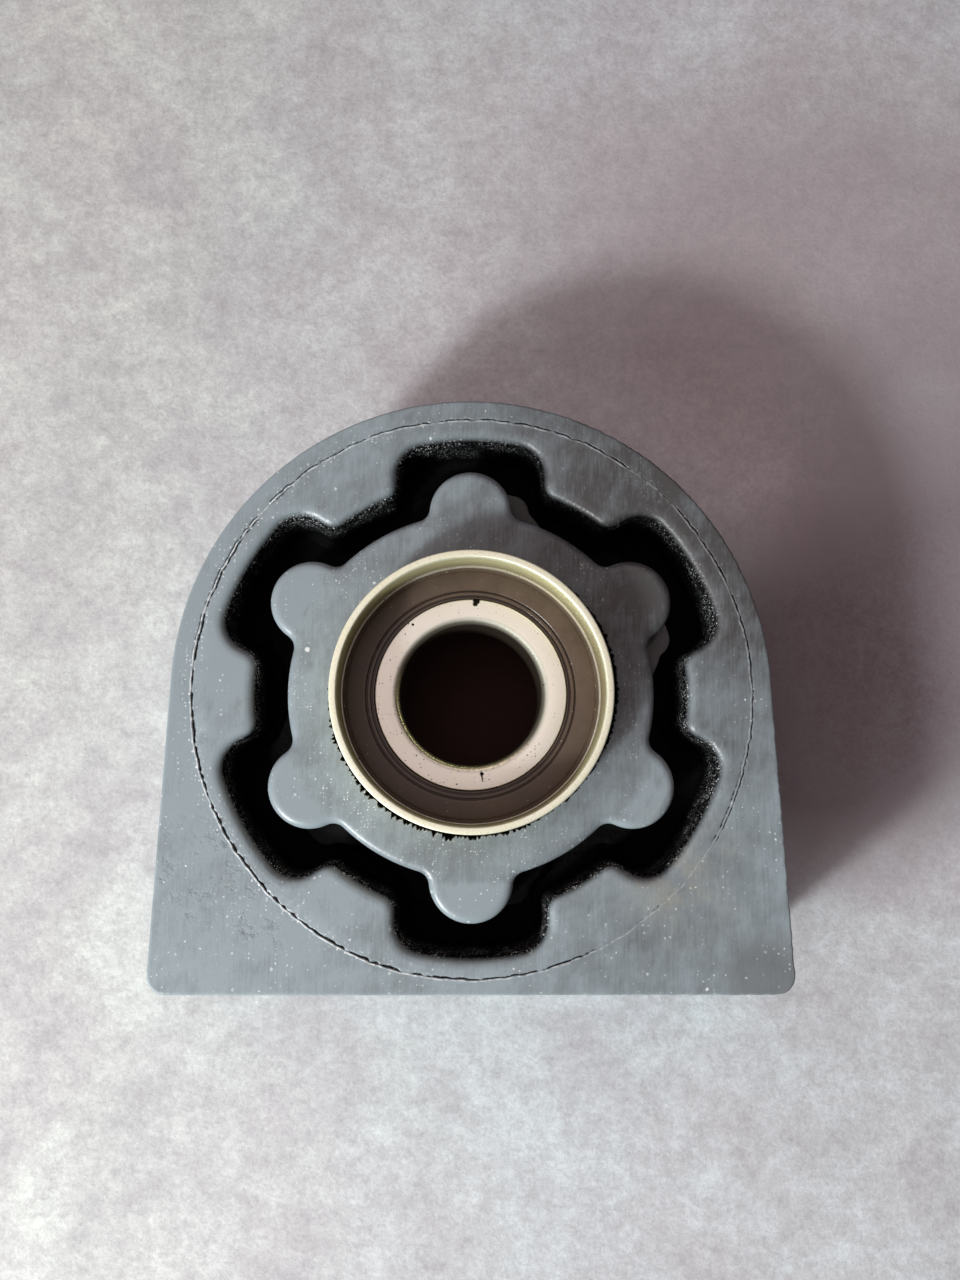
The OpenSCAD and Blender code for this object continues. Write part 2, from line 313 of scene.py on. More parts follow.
def add_object(name, data):
    made = bpy.data.objects.new(name, data)
    bpy.context.scene.collection.objects.link(made)
    return made


def joined_rings(name, rings):
    """A smooth mesh of closed rings of points, each joined to the next and the last to the first."""
    rows, count = rings.shape[:2]
    index = np.arange(rows * count).reshape(rows, count)
    a, b = index, np.roll(index, -1, axis=1)
    c, d = np.roll(b, -1, axis=0), np.roll(a, -1, axis=0)
    quads = np.stack([a, b, c, d], axis=-1).reshape(-1, 4)
    mesh = bpy.data.meshes.new(name)
    mesh.from_pydata((rings.reshape(-1, 3) * MM).tolist(), [], quads.tolist())
    mesh.polygons.foreach_set("use_smooth", [True] * len(quads))
    mesh.update()
    return mesh


class Loft:
    """Closed rings of the same number of points, joined in turn.

    Each ring has two values from 0 to 1 for its finish: cavity, for raw black rubber and for painted shade in
    the gap round the neck, at the mouths of the cavity and in the mould line's groove, and pale, for torn
    flash and dust and for painted light on the feet of some lobes.
    """

    def __init__(self):
        self.rings = []

    def add(self, ring, z, cavity=0.0, pale=0.0):
        ones = np.ones(len(ring))
        self.rings.append((np.column_stack([ring, z * ones]), cavity * ones, pale * ones))

    def span(self, first, last, z, shares, cavity=0.0, pale=0.0):
        """A level face between two rings."""
        for share in shares:
            self.add(first + (last - first) * share, z, cavity, pale)

    def wall(self, ring, z_from, z_to, count, cavity_from=0.0, cavity_to=0.0):
        for share in np.linspace(0, 1, count):
            self.add(ring, z_from + (z_to - z_from) * share, cavity_from + (cavity_to - cavity_from) * share)

    def edge(self, ring, z, radius, solid, up, from_face, cavity=0.0, inset=0.0):
        """Rounded edge of a wall and a face at height z.

        solid is 1 where the ring encloses rubber and -1 where it encloses air, up is 1 for a face that looks
        up and -1 for one that looks down, and from_face says which end comes first. cavity is one value, or
        one for each step, and inset moves the whole edge inward.
        """
        shades = [cavity] * EDGE_STEPS if np.isscalar(cavity) else cavity
        ends = (90, 0) if from_face else (0, 90)
        for a, shade in zip(np.radians(np.linspace(*ends, len(shades))), shades):
            moved = grown(ring, -inset - solid * radius * (1 - math.cos(a)))
            self.add(moved, z - up * radius * (1 - math.sin(a)), shade)

    def fillet(self, ring, z, radius, air, up, from_wall, cavity=0.0):
        """Hollow corner of a wall and a face at height z. air is 1 where the air is outside the ring."""
        ends = (0, 90) if from_wall else (90, 0)
        for a in np.radians(np.linspace(*ends, EDGE_STEPS)):
            moved = grown(ring, air * radius * (1 - math.cos(a)))
            self.add(moved, z + up * radius * (1 - math.sin(a)), cavity)

    def build(self, name):
        mesh = joined_rings(name, np.stack([ring[0] for ring in self.rings]))
        for column, attribute in enumerate(("cavity", "pale"), start=1):
            values = np.concatenate([ring[column] for ring in self.rings]).astype(np.float32)
            mesh.attributes.new(attribute, "FLOAT", "POINT").data.foreach_set("value", values)
        return add_object(name, mesh)


def rounded(corners, steps=CORNER_STEPS):
    """Closed profile through corners (r, z) or (r, z, radius)."""
    points = []
    for i, corner in enumerate(corners):
        here = np.array(corner[:2])
        if len(corner) == 2:
            points.append(here)
            continue
        back = np.array(corners[i - 1][:2]) - here
        ahead = np.array(corners[(i + 1) % len(corners)][:2]) - here
        back /= np.linalg.norm(back)
        ahead /= np.linalg.norm(ahead)
        half = math.acos(np.clip(back @ ahead, -1, 1)) / 2
        middle = (back + ahead) / np.linalg.norm(back + ahead)
        centre = here + middle * corner[2] / math.sin(half)
        start = angle_of(here + back * corner[2] / math.tan(half) - centre)
        side = 1 if back[0] * ahead[1] - back[1] * ahead[0] < 0 else -1
        points.extend(arc(centre, corner[2], start, start + side * (180 - 2 * math.degrees(half)), steps))
    return np.array(points)


def lathe(name, profile):
    """A closed profile turned round the shaft axis."""
    angles = np.linspace(0, 2 * math.pi, LATHE_POINTS, endpoint=False)
    radius, height = profile[:, 0], profile[:, 1]
    rings = np.stack([
        np.outer(radius, np.cos(angles)),
        np.outer(radius, np.sin(angles)),
        np.outer(height, np.ones(LATHE_POINTS)),
    ], axis=-1)
    mesh = joined_rings(name, rings)
    mesh.set_sharp_from_angle(angle=math.radians(SHARP_ANGLE))
    return add_object(name, mesh)


# Uneven places of the cushion, each worked out from the angle round the axis

def witness_height(angles):
    """Height of the flash on the mould line: higher on the left, broken at three places on the right."""
    gaps = np.zeros_like(angles)
    for middle, half_width in ((48.5, 7), (320, 9), (303, 8)):
        gaps = np.maximum(gaps, np.clip(0.5 + (half_width - turned_away(angles, middle)) / 2, 0, 1))
    left = np.clip(1.25 - turned_away(angles, 200) / 80, 0, 1)
    uneven_height = np.clip(0.7 + 0.6 * ripple(angles, seed=4, waves=300, fall=0.25, start=12), 0.06, 1.6)
    return (0.13 + 0.15 * left) * uneven_height * (1 - 0.9 * gaps)


def pale_flash(angles):
    """How pale the torn crest of the mould line is: most on the left."""
    torn = np.clip(0.55 + 0.5 * ripple(angles, seed=5, waves=320, fall=0.1, start=40), 0, 1)
    return torn * np.clip(1.6 - turned_away(angles, 190) / 90, 0.25, 1)


def neck_gap(angles):
    """Width of the ragged gap between the hub and the casing's neck: wide at the lower left and right."""
    low_left = np.clip(1.4 - turned_away(angles, 240) / 62, 0, 1)
    right = np.clip(1.3 - turned_away(angles, 14) / 50, 0, 1)
    torn = (0.75 * ripple(angles, seed=7, waves=170, fall=0.3, start=12)
            + 0.5 * ripple(angles, seed=9, waves=330, fall=0.1, start=60))
    torn = np.clip(torn, -0.6, 1.9)
    width = 0.4 + 0.5 * low_left + 1.2 * right
    return np.clip(width + torn * (0.08 + 0.42 * low_left + 0.14 * right), 0.06, 2.4)


def frayed_rubber(angles):
    """How pale the torn edge of that gap is: only at the lower left."""
    low_left = np.clip(1.4 - turned_away(angles, 225) / 75, 0, 1)
    return low_left * np.clip(0.08 + 0.3 * ripple(angles, seed=13, waves=330, fall=0.1, start=40), 0, 0.5)


def foot_painted_light(angles):
    """Painted light on the feet of three lobes, each on one side of its lobe: a pale tone where light reaches
    them.
    """
    dust = np.zeros_like(angles)
    for middle, amount in ((17, 0.32), (76, 0.18), (222, 0.02)):
        dust = np.maximum(dust, amount * np.clip(1.6 - turned_away(angles, middle) / 8, 0, 1))
    return dust


def rim_nicks(angles):
    """Depth of the nicks in the front rim of the block, at its lower and upper right."""
    worn = np.clip(1.3 - turned_away(angles, 325) / 40, 0, 1)
    worn = np.maximum(worn, np.clip(1.3 - turned_away(angles, 45) / 40, 0, 0.8))
    return 0.14 * worn * np.clip(np.abs(ripple(angles, seed=21, waves=330, fall=0.2, start=20)), 0, 1.6)


# Cushion, from the neck outward over the front, round the block and back along the rear

def add_hub_face(loft, hub, angles):
    """Ragged gap round the neck of the casing, black as raw flash and as painted shade between the rubber and
    the neck, and the front face of the hub.
    """
    gap = neck_gap(angles)
    frayed = frayed_rubber(angles)
    loft.add(circle_ring(NECK_OR + CLEAR, angles), GAP_FLOOR_Z, 1)
    # The gap is painted black: raw flash, and painted shade between the rubber and the neck
    for out, share, depth, cavity, pale in ((0.06, 0.5, 0.95, 1, 0), (0.1, 1, 0.3, 1, 0),
                                            (0.16, 1.05, 0.04, 0.7, 0), (0.36, 1.1, 0, 0, frayed),
                                            (0.7, 1.15, 0, 0, 0)):
        loft.add(circle_ring(NECK_OR + out + share * gap, angles), HUB_Z - depth, cavity, pale)
    face_end = grown(hub, -HUB_EDGE_R - RUN_OUT)
    loft.span(circle_ring(HUB_FACE_R, angles), face_end, HUB_Z, (0, 0.25, 0.5, 0.75, 1))


def add_front_cavity(loft, hub, foot, cavity, angles):
    """Side of the hub, feet of its lobes, web, and wall of the cavity."""
    loft.edge(hub, HUB_Z, HUB_EDGE_R, solid=1, up=1, from_face=True, cavity=0.08)
    loft.add(hub, HUB_Z - HUB_EDGE_R - RUN_OUT, 0.2)
    loft.wall(hub, HUB_Z - HUB_EDGE_R - 1.0, FOOT_Z + 0.5, 5, 1, 1)
    # Painted light: a pale tone on the feet that light reaches
    dust = foot_painted_light(angles)
    loft.add(hub, FOOT_Z + 0.05, 1)
    loft.span(hub, grown(foot, -SHELF_INSET), FOOT_Z, (0.35, 0.75), 1, dust)
    for a in np.radians(np.linspace(90, 0, 4)):
        loft.add(grown(foot, -SHELF_INSET * math.sin(a)), FOOT_Z - SHELF_R * (1 - math.sin(a)), 1, dust)
    loft.wall(foot, FOOT_Z - SHELF_R - RUN_OUT, WEB_TOP_Z + WEB_R + FILLET_RUN_OUT, 3, 1, 1)
    loft.fillet(foot, WEB_TOP_Z, WEB_R, air=1, up=1, from_wall=True, cavity=1)
    loft.span(grown(foot, WEB_R), grown(cavity, -WEB_R), WEB_TOP_Z, (0.3, 0.7), 1)
    loft.fillet(cavity, WEB_TOP_Z, WEB_R, air=-1, up=1, from_wall=False, cavity=1)
    loft.wall(cavity, WEB_TOP_Z + WEB_R + FILLET_RUN_OUT, FRONT_Z - MOUTH_R - WALL_RUN_OUT, 7, 1, 0.84)
    # Black share on the rounded mouth: raw black rubber on the wall, and painted shade creeping up the
    # rounding
    mouth_black_and_shade = (0.82, 0.74, 0.56, 0.28, 0.05, 0)
    loft.edge(cavity, FRONT_Z, MOUTH_R, solid=-1, up=1, from_face=False, cavity=mouth_black_and_shade)


def add_block_face(loft, cavity, block, nicks, angles):
    """Front face of the block, with the mould line: a crest, and a groove beside it.

    The groove lies on the crest's side away from the lamp, outside the crest at the upper right and inside it
    at the lower left, and its dark is the crest's painted shadow.
    """
    flash = witness_height(angles)
    pale = pale_flash(angles)
    wander = WITNESS_R + 0.1 * ripple(angles, seed=11, waves=160, fall=0.5)
    outside = np.clip(0.5 + 1.2 * np.cos(np.radians(angles - 60)), 0, 1)
    groove_in, groove_out = 1.3 * flash * (1 - outside), 1.3 * flash * outside
    line_start = circle_ring(WITNESS_R - WITNESS_HALF_W, angles)
    loft.span(grown(cavity, MOUTH_R + MOUTH_RUN_OUT), line_start, FRONT_Z, (0, 0.33, 0.67, 1))
    for out, sink, crest in ((-0.46, 0.2 * groove_in, 0), (-0.34, groove_in, 0), (-0.22, groove_in, 0),
                             (-0.15, 0, 1), (0.15, 0, 1),
                             (0.22, groove_out, 0), (0.34, groove_out, 0), (0.46, 0.2 * groove_out, 0)):
        # Painted shadow: the groove beside the crest is painted dark by its depth
        dark = 0 if crest else np.clip(sink / 0.12, 0, 0.8)
        loft.add(circle_ring(wander + out, angles), FRONT_Z - sink + crest * flash, dark, crest * pale)
    line_end = circle_ring(WITNESS_R + WITNESS_HALF_W, angles)
    loft.span(line_end, grown(block, -nicks - BLOCK_EDGE_R - RUN_OUT), FRONT_Z, (0, 0.5, 1))


def add_block_sides(loft, cavity, block, nicks):
    """Outside of the block and its rear face."""
    loft.edge(block, FRONT_Z, BLOCK_EDGE_R, solid=1, up=1, from_face=True, inset=nicks)
    loft.wall(block, FRONT_Z - BLOCK_EDGE_R - WALL_RUN_OUT, REAR_Z + BLOCK_EDGE_R + WALL_RUN_OUT, 5)
    loft.edge(block, REAR_Z, BLOCK_EDGE_R, solid=1, up=-1, from_face=False)
    face_end = grown(cavity, MOUTH_R + MOUTH_RUN_OUT)
    loft.span(grown(block, -BLOCK_EDGE_R - RUN_OUT), face_end, REAR_Z, (0, 0.33, 0.67, 1))


def add_rear(loft, hub, cavity, angles):
    """Rear cavity, the rear of the hub, and the bond against the outside of the casing."""
    loft.edge(cavity, REAR_Z, MOUTH_R, solid=-1, up=-1, from_face=True, cavity=0.3)
    loft.wall(cavity, REAR_Z + MOUTH_R + WALL_RUN_OUT, WEB_BOTTOM_Z - WEB_R - FILLET_RUN_OUT, 5, 0.6, 1)
    loft.fillet(cavity, WEB_BOTTOM_Z, WEB_R * 0.5, air=-1, up=-1, from_wall=True, cavity=1)
    loft.span(grown(cavity, -WEB_R), grown(hub, 1), WEB_BOTTOM_Z, (0, 0.5, 1), 1)
    loft.wall(hub, WEB_BOTTOM_Z - WALL_RUN_OUT, HUB_REAR_Z + HUB_EDGE_R, 3, 0.8, 0.3)
    loft.edge(hub, HUB_REAR_Z, HUB_EDGE_R, solid=1, up=-1, from_face=False)
    face_end = circle_ring(HUB_FACE_R, angles)
    loft.span(grown(hub, -HUB_EDGE_R - RUN_OUT), face_end, HUB_REAR_Z, (0, 0.5, 1))
    loft.add(circle_ring(NECK_OR + CLEAR, angles), HUB_REAR_Z)
    loft.add(circle_ring(NECK_OR + CLEAR, angles), -CRIMP_Z - CLEAR_Z)
    loft.add(circle_ring(SEAT_OR + CLEAR, angles), -CRIMP_Z - CLEAR_Z)
    loft.add(circle_ring(SEAT_OR + CLEAR, angles), FLANGE_Z + CLEAR_Z)


def cushion_piece():
    hub = pattern(hub_path())
    foot = pattern(foot_path())
    cavity = pattern(cavity_path())
    hub_a, cavity_a = ring_angles(hub), ring_angles(cavity)
    block = grown(block_ring(cavity_a), -BLOCK_INSET)
    nicks = rim_nicks(cavity_a)
    loft = Loft()
    add_hub_face(loft, hub, hub_a)
    add_front_cavity(loft, hub, foot, cavity, hub_a)
    add_block_face(loft, cavity, block, nicks, cavity_a)
    add_block_sides(loft, cavity, block, nicks)
    add_rear(loft, hub, cavity, hub_a)
    return loft.build("cushion_moulding")


# Profiles of the turned and pressed pieces

def front_shell_profile():
    return rounded([
        (NECK_IR, FRONT_RIM_Z, RIM_ROUND), (NECK_IR, RING_FACE_Z, BEND_OR), (BEARING_R, RING_FACE_Z, BEND_R),
        (BEARING_R, -FLANGE_Z, BEND_R), (CRIMP_IR, -FLANGE_Z), (CRIMP_IR, -CRIMP_Z),
        (SEAT_OR, -CRIMP_Z, BEND_OR), (SEAT_OR, FLANGE_Z, BEND_OR), (NECK_OR, FLANGE_Z, BEND_R),
        (NECK_OR, FRONT_RIM_Z, RIM_ROUND)])


def rear_shell_profile():
    return rounded([
        (NECK_IR, REAR_RIM_Z, RIM_ROUND), (NECK_OR, REAR_RIM_Z, RIM_ROUND), (NECK_OR, -FLANGE_Z, BEND_R),
        (BEARING_R, -FLANGE_Z, BEND_R), (BEARING_R, -RING_FACE_Z), (NECK_IR, -RING_FACE_Z, BEND_OR)])


def inner_ring_profile():
    half_groove = math.sqrt(GROOVE_R ** 2 - (PITCH_R - SHOULDER_R) ** 2)
    groove_a = math.degrees(math.atan2(half_groove, PITCH_R - SHOULDER_R))
    groove = arc([PITCH_R, 0], GROOVE_R, 180 + groove_a, 180 - groove_a, 24)
    lower = rounded([(BORE_R, 0), (BORE_R, -RING_FACE_Z, BEVEL_R),
                     (SHOULDER_R, -RING_FACE_Z, SHOULDER_ROUND), (SHOULDER_R, -half_groove)])
    upper = rounded([(SHOULDER_R, half_groove), (SHOULDER_R, RING_FACE_Z, SHOULDER_ROUND),
                     (BORE_R, RING_FACE_Z, BEVEL_R), (BORE_R, 0)])
    return np.concatenate([lower[1:-1], groove, upper[1:-1]])


def seal_profile(side):
    """A flat ring with two fine grooves beside its lip, for the front (1) or the rear (-1)."""
    groove_z = SEAL_TOP - LIP_GROOVE_DEPTH
    lip_z, ridge_z, rim_z = SEAL_TOP - 0.2, SEAL_TOP - 0.12, SEAL_TOP - 0.1
    profile = rounded([
        (LIP_R, lip_z, 0.06), (LIP_R, SEAL_BOTTOM, 0.12), (SEAL_OR, SEAL_BOTTOM, 0.2), (SEAL_OR, rim_z, 0.15),
        (SEAL_OR - 0.7, rim_z, 0.2), (SEAL_OR - 1.0, SEAL_TOP, 0.2), (LIP_R + 1.84, SEAL_TOP, 0.3),
        (LIP_R + 1.76, groove_z, 0.06), (LIP_R + 1.5, groove_z, 0.06), (LIP_R + 1.44, ridge_z, 0.12),
        (LIP_R + 0.8, ridge_z, 0.12), (LIP_R + 0.74, groove_z, 0.05), (LIP_R + 0.42, groove_z, 0.05),
        (LIP_R + 0.36, lip_z, 0.05)], steps=4)
    return profile if side > 0 else (profile * [1, -1])[::-1]


# Shader helpers

def add_node(tree, kind, inputs=None, **settings):
    made = tree.nodes.new(kind)
    for key, value in settings.items():
        setattr(made, key, value)
    for key, value in (inputs or {}).items():
        if isinstance(value, bpy.types.NodeSocket):
            tree.links.new(value, made.inputs[key])
        else:
            made.inputs[key].default_value = value
    return made


def new_material(name, **constants):
    """A material with one principled shader. Constants go straight on its sockets."""
    material = bpy.data.materials.new(name)
    material.use_nodes = True
    tree = material.node_tree
    tree.nodes.clear()
    shader = add_node(tree, "ShaderNodeBsdfPrincipled")
    output = add_node(tree, "ShaderNodeOutputMaterial")
    tree.links.new(shader.outputs["BSDF"], output.inputs["Surface"])
    for key, value in constants.items():
        shader.inputs[key.replace("_", " ")].default_value = value
    return material, tree, shader


def link(tree, shader, **sockets):
    """Links values to the shader's sockets. An underscore in a name stands for a space."""
    for key, value in sockets.items():
        tree.links.new(value, shader.inputs[key.replace("_", " ")])


def object_place(tree):
    return add_node(tree, "ShaderNodeTexCoord").outputs["Object"]


def split(tree, place):
    """The X, Y and Z of a place."""
    return add_node(tree, "ShaderNodeSeparateXYZ", {"Vector": place}).outputs


def math_node(tree, operation, a, b=0.0, clamp=False):
    return add_node(tree, "ShaderNodeMath", {0: a, 1: b}, operation=operation, use_clamp=clamp).outputs[0]


def plus(tree, a, b, clamp=False):
    return math_node(tree, "ADD", a, b, clamp)


def minus(tree, a, b):
    return math_node(tree, "SUBTRACT", a, b)


def times(tree, a, b):
    return math_node(tree, "MULTIPLY", a, b)


def larger(tree, a, b):
    return math_node(tree, "MAXIMUM", a, b)


def absolute(tree, a):
    return math_node(tree, "ABSOLUTE", a)


def vector_node(tree, operation, a, b, output="Vector"):
    return add_node(tree, "ShaderNodeVectorMath", {0: a, 1: b}, operation=operation).outputs[output]


def fade(tree, value, low, high, to_low=0.0, to_high=1.0):
    """value stretched from low..high to to_low..to_high, held at both ends."""
    made = add_node(tree, "ShaderNodeMapRange", {
        "Value": value, "From Min": low, "From Max": high, "To Min": to_low, "To Max": to_high})
    return made.outputs["Result"]


def mix_colour(tree, share, a, b):
    made = add_node(tree, "ShaderNodeMix", data_type="RGBA", blend_type="MIX")
    for socket, value in ((made.inputs[0], share), (made.inputs[6], a), (made.inputs[7], b)):
        if isinstance(value, bpy.types.NodeSocket):
            tree.links.new(value, socket)
        else:
            socket.default_value = (*value, 1.0)
    return made.outputs[2]


def noise(tree, place, size, detail=4.0, rough=0.55):
    """Noise from 0 to 1 whose features are about size millimetres."""
    made = add_node(tree, "ShaderNodeTexNoise", {
        "Vector": place, "Scale": 1 / (size * MM), "Detail": detail, "Roughness": rough})
    return made.outputs["Fac"]


def spread(tree, noise_value, low, high):
    """Noise stretched over its usual range to low..high."""
    return fade(tree, noise_value, 0.3, 0.7, low, high)


def stretched(tree, place, factors):
    return vector_node(tree, "MULTIPLY", place, factors)


def spun(tree, place, degrees):
    """The place turned about the shaft axis."""
    made = add_node(tree, "ShaderNodeVectorRotate", {"Vector": place, "Angle": math.radians(degrees)},
                    rotation_type="Z_AXIS")
    return made.outputs["Vector"]


def uneven(tree, place, size, amount):
    """The place moved about by noise of some millimetres, so that round marks come out ragged."""
    wobble = add_node(tree, "ShaderNodeTexNoise", {"Vector": place, "Scale": 1 / (size * MM), "Detail": 2.0})
    centred = vector_node(tree, "SUBTRACT", wobble.outputs["Color"], (0.5, 0.5, 0.5))
    return vector_node(tree, "ADD", place, stretched(tree, centred, [2 * amount * MM] * 3))


def axis_distance(tree, place):
    """Distance from the shaft axis."""
    level = stretched(tree, place, (1, 1, 0))
    return add_node(tree, "ShaderNodeVectorMath", {0: level}, operation="LENGTH").outputs["Value"]


def off_circle(tree, radius, circle_r):
    """Distance from a circle round the shaft axis."""
    return absolute(tree, minus(tree, radius, circle_r * MM))


def near_point(tree, place, point, reach):
    """1 at a point, falling to 0 at its reach."""
    away = vector_node(tree, "DISTANCE", place, [v * MM for v in point], "Value")
    return fade(tree, away, reach * MM, 0)


def specks(tree, place, spacing, radius, share, across="2D"):
    """Soft round specks: one in a share of the cells of that spacing. 2D is for level faces."""
    cells = add_node(tree, "ShaderNodeTexVoronoi", {"Vector": place, "Scale": 1 / (spacing * MM)},
                     voronoi_dimensions=across)
    chance = add_node(tree, "ShaderNodeSeparateColor", {"Color": cells.outputs["Color"]})
    size = fade(tree, chance.outputs["Green"], 0, 1, 0.35 * radius / spacing, radius / spacing)
    inside = minus(tree, size, cells.outputs["Distance"])
    spot = fade(tree, inside, 0.0, 0.25 * radius / spacing)
    chosen = math_node(tree, "GREATER_THAN", chance.outputs["Red"], 1 - share)
    return times(tree, spot, chosen)


def bump(tree, height, distance, strength, normal=None):
    inputs = {"Height": height, "Distance": distance * MM, "Strength": strength}
    if normal is not None:
        inputs["Normal"] = normal
    return add_node(tree, "ShaderNodeBump", inputs).outputs["Normal"]


# Colours of the cushion
RAW_BLACK = (0.003, 0.003, 0.0032)
DARK_RUBBER = (0.063, 0.062, 0.063)
PALE_BLOOM = (0.262, 0.317, 0.342)
STAIN_BROWN = (0.27, 0.24, 0.165)
SCUFF_GREY = (0.085, 0.09, 0.095)
DULL_GREY = (0.11, 0.11, 0.11)
# White of dust, chips and torn flash, also used for the painted glints and the painted light on some feet
DUST_AND_GLINT_WHITE = (0.74, 0.77, 0.78)

# Places on the cushion that differ from the rest: centre and reach, or radii
# Painted shade: less bloom, so darker rubber, towards the upper right, away from the lamp
SHADE_TO_UPPER_RIGHT = ((46, 42, FRONT_Z), 96)
HUB_LOW = ((3, -33, HUB_Z), 27)
# Painted shadow of the casing's neck on the right of the hub
NECK_SHADOW_ON_HUB = ((38, 6, HUB_Z), 24)
BASE_RIGHT = ((34, -50, FRONT_Z), 46)
ARCH_TOP = ((-4, 62, FRONT_Z), 34)
STAIN = ((43, -38, FRONT_Z), 17)
SCUFFS = (((-56, -36, FRONT_Z), 15), ((-43, -44, FRONT_Z), 12))
DULL_CORNER = ((60, -58, FRONT_Z), 13)
FLECKS = (((38, 44, FRONT_Z), 7), ((-49, -44, FRONT_Z), 5.5))
# Painted shade on the painted glints: fewer of them at the upper right
SHADED_GLINTS = ((24, 40, FRONT_Z), 46)
CHIPS = (((-34.0, 9.1, HUB_Z), 0.75), ((-15.8, -49.2, WEB_TOP_Z), 0.8))
HUB_FACE_FADE = (39.8, 38.2)
LOBE_BAND_R = 43


# Rubber of the cushion

def rubber_bloom_and_shade(tree, place, radius, hub_face, cloud):
    """Share of pale bloom, thinner on the hub than on its lobes, less towards the upper right as painted
    shade away from the lamp, and less on the right of the hub as the neck's painted shadow.
    """
    # Painted shade: the bloom thins towards the upper right, away from the lamp
    bloom_and_shade = fade(tree, near_point(tree, place, *SHADE_TO_UPPER_RIGHT), 0.12, 0.82, 1.0, 0.05)
    lobes = fade(tree, off_circle(tree, radius, LOBE_BAND_R), 4.5 * MM, 2 * MM)
    lobes = times(tree, lobes, bloom_and_shade)
    hub_low = times(tree, near_point(tree, place, *HUB_LOW), hub_face)
    # Painted shadow of the neck on the hub
    neck_shadow = near_point(tree, place, *NECK_SHADOW_ON_HUB)
    base_right = near_point(tree, place, *BASE_RIGHT)
    arch_top = near_point(tree, place, *ARCH_TOP)
    for share, amount in ((hub_face, -0.06), (lobes, 0.2), (hub_low, -0.3), (neck_shadow, -0.12),
                          (base_right, -0.36), (arch_top, 0.16)):
        bloom_and_shade = plus(tree, bloom_and_shade, times(tree, share, amount))
    smear = noise(tree, stretched(tree, spun(tree, place, 30), (1, 0.25, 1)), 2.5, 6, 0.7)
    mottle = noise(tree, place, 26, 5, 0.6)
    streak = noise(tree, stretched(tree, place, (1, 0.08, 1)), 0.45, 3, 0.6)
    bloom_and_shade = plus(tree, bloom_and_shade, spread(tree, smear, -0.12, 0.12))
    bloom_and_shade = plus(tree, bloom_and_shade, spread(tree, mottle, -0.26, 0.22))
    bloom_and_shade = plus(tree, bloom_and_shade, spread(tree, cloud, -0.18, 0.18))
    return plus(tree, bloom_and_shade, spread(tree, streak, -0.11, 0.11), clamp=True)


def rubber_scuffs(tree, place):
    scuff = larger(tree, *[near_point(tree, place, *spot) for spot in SCUFFS])
    patchy = fade(tree, noise(tree, place, 3.0, 5, 0.7), 0.53, 0.72, 0.0, 0.5)
    return times(tree, fade(tree, scuff, 0.0, 0.5), patchy)


def rubber_dust(tree, place, ragged, radius, hub_face):
    """Dust in patches on the level front faces, on the hub, and along the left of the mould line."""
    apart = split(tree, place)
    left = fade(tree, apart["X"], 10 * MM, -40 * MM)
    level = fade(tree, apart["Z"], (FRONT_Z - 0.9) * MM, (FRONT_Z - 0.4) * MM)
    line = times(tree, fade(tree, off_circle(tree, radius, WITNESS_R), 2.4 * MM, 0.2 * MM), left)
    for spot in FLECKS:
        line = larger(tree, line, near_point(tree, place, *spot))
    patch = fade(tree, noise(tree, place, 7, 6, 0.7), 0.46, 0.64, 0.05, 1.0)
    dust = larger(tree, specks(tree, ragged, 1.1, 0.22, 0.22), specks(tree, ragged, 4.0, 0.4, 0.2))
    dust = times(tree, dust, patch)
    hub_patch = fade(tree, noise(tree, place, 7), 0.45, 0.62, 0.05, 0.8)
    hub_dust = times(tree, specks(tree, ragged, 0.7, 0.18, 0.32), hub_face)
    hub_dust = times(tree, hub_dust, hub_patch)
    torn = times(tree, specks(tree, ragged, 0.8, 0.26, 0.3), line)
    return times(tree, larger(tree, larger(tree, dust, hub_dust), torn), level)


def rubber_painted_glints(tree, place, cavity):
    """Painted glints: bright grains on the upper part of the cavity's wall that stand in for its sparkle,
    fewer at the upper right as painted shade.
    """
    wall = times(tree, fade(tree, cavity, 0.2, 0.5), fade(tree, cavity, 0.99, 0.88))
    grains = larger(tree, specks(tree, place, 0.5, 0.2, 0.5, "3D"),
                    fade(tree, noise(tree, place, 0.45, 3, 0.7), 0.54, 0.7, 0.0, 0.6))
    grains = times(tree, grains, fade(tree, noise(tree, place, 5), 0.38, 0.6, 0.15, 1.0))
    # Painted shade: the grains thin out at the upper right
    glint_shade = fade(tree, near_point(tree, place, *SHADED_GLINTS), 0.1, 0.6, 1.0, 0.25)
    return times(tree, times(tree, grains, glint_shade), wall)


